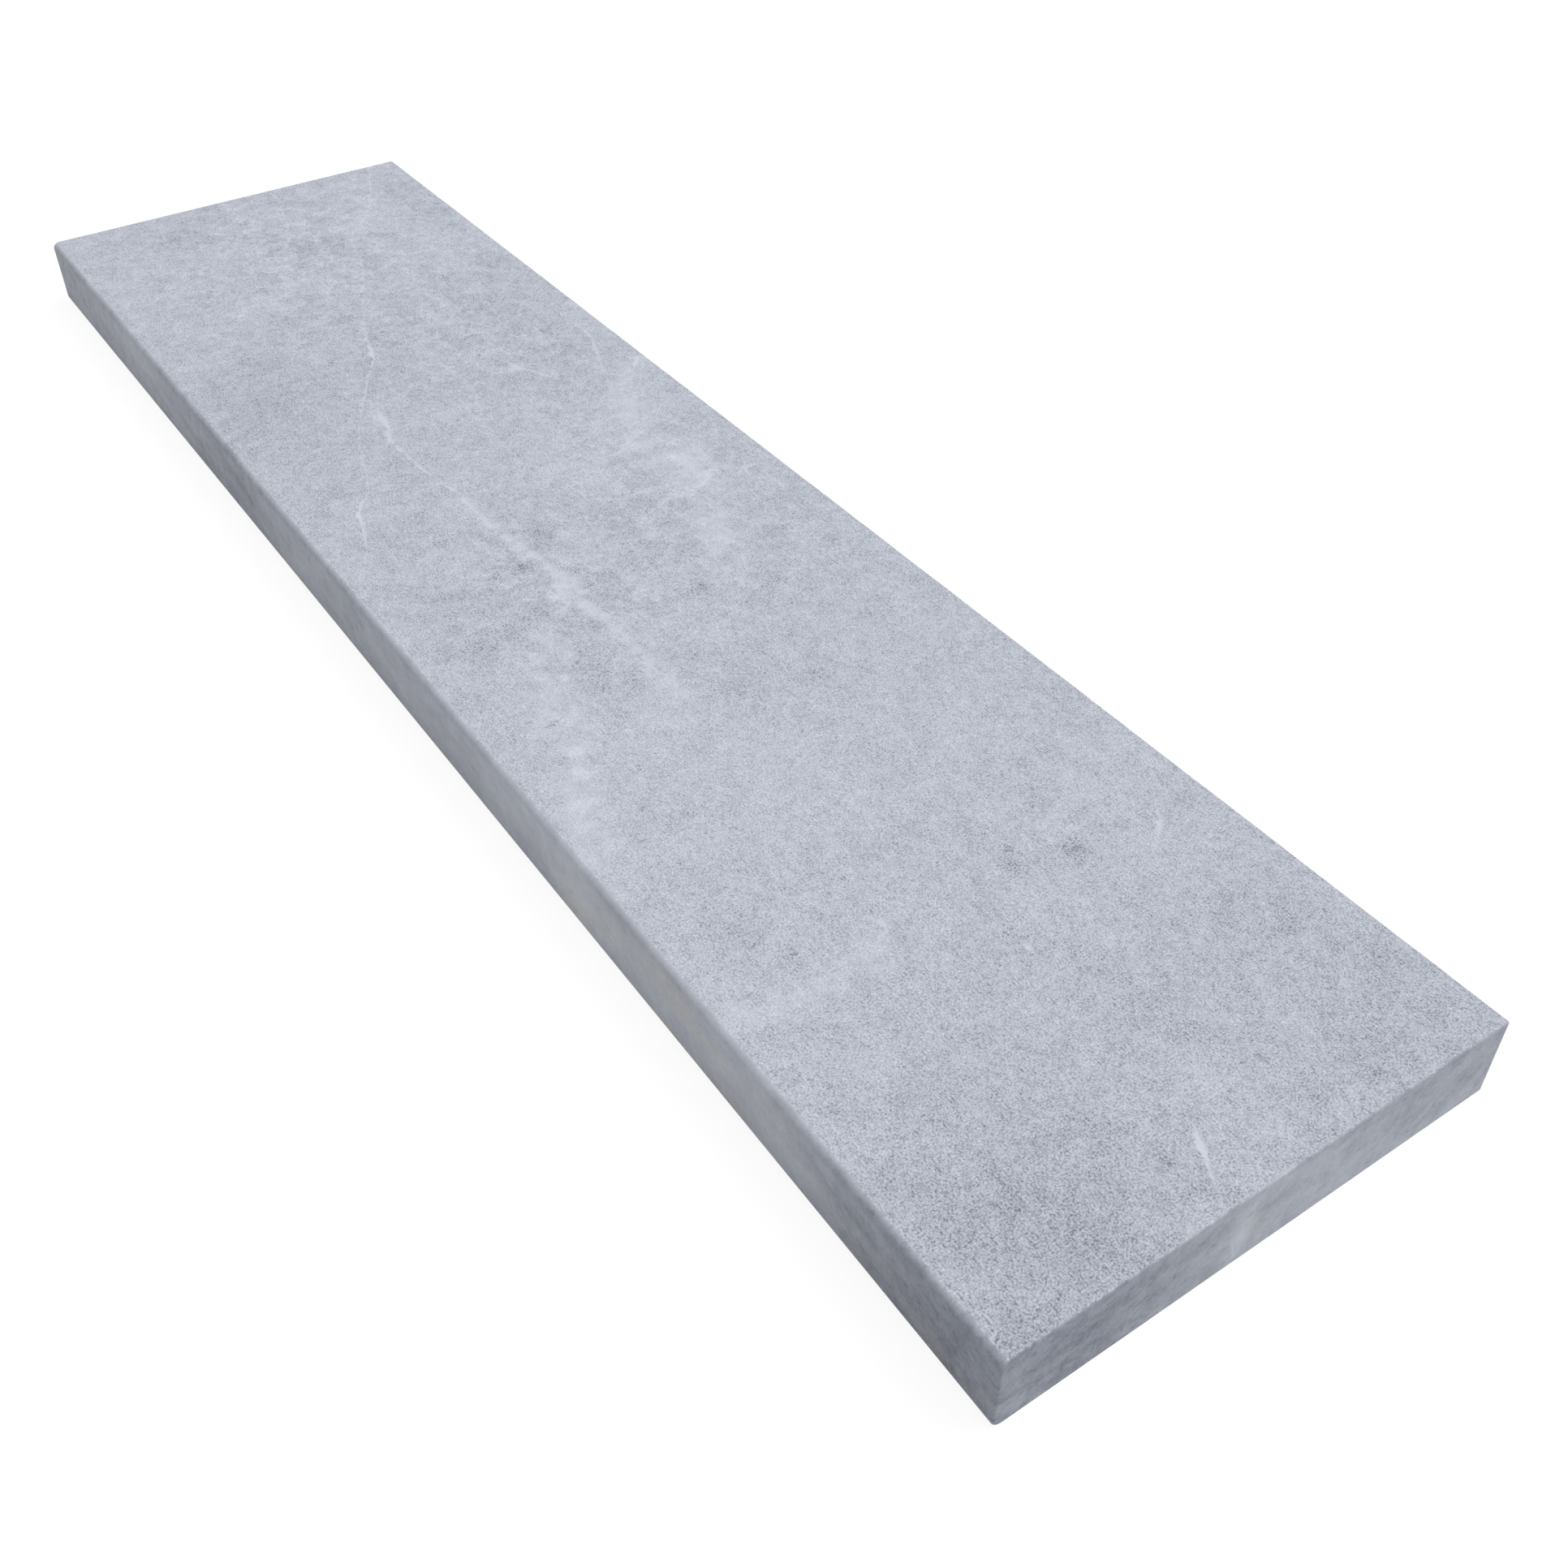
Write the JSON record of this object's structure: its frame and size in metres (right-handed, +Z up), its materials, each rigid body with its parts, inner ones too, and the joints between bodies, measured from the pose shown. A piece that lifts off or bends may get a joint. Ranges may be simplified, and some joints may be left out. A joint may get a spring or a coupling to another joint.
{
  "type": "coping stone",
  "caption": "Long flat slab of blue-grey limestone with rounded front arrises, bedded on top of a wall or along a pool edge as its coping.",
  "frame": {"origin": "centre of the bed face, on the surface that the stone lies on", "axes": "+X along the length, +Y from the rounded front face to the back face, +Z up through the thickness"},
  "size_m": [1.2, 0.3, 0.05],
  "materials": {
    "limestone": "matte"
  },
  "bodies": {
    "root": {"coping_stone": "limestone"}
  },
  "joints": []
}
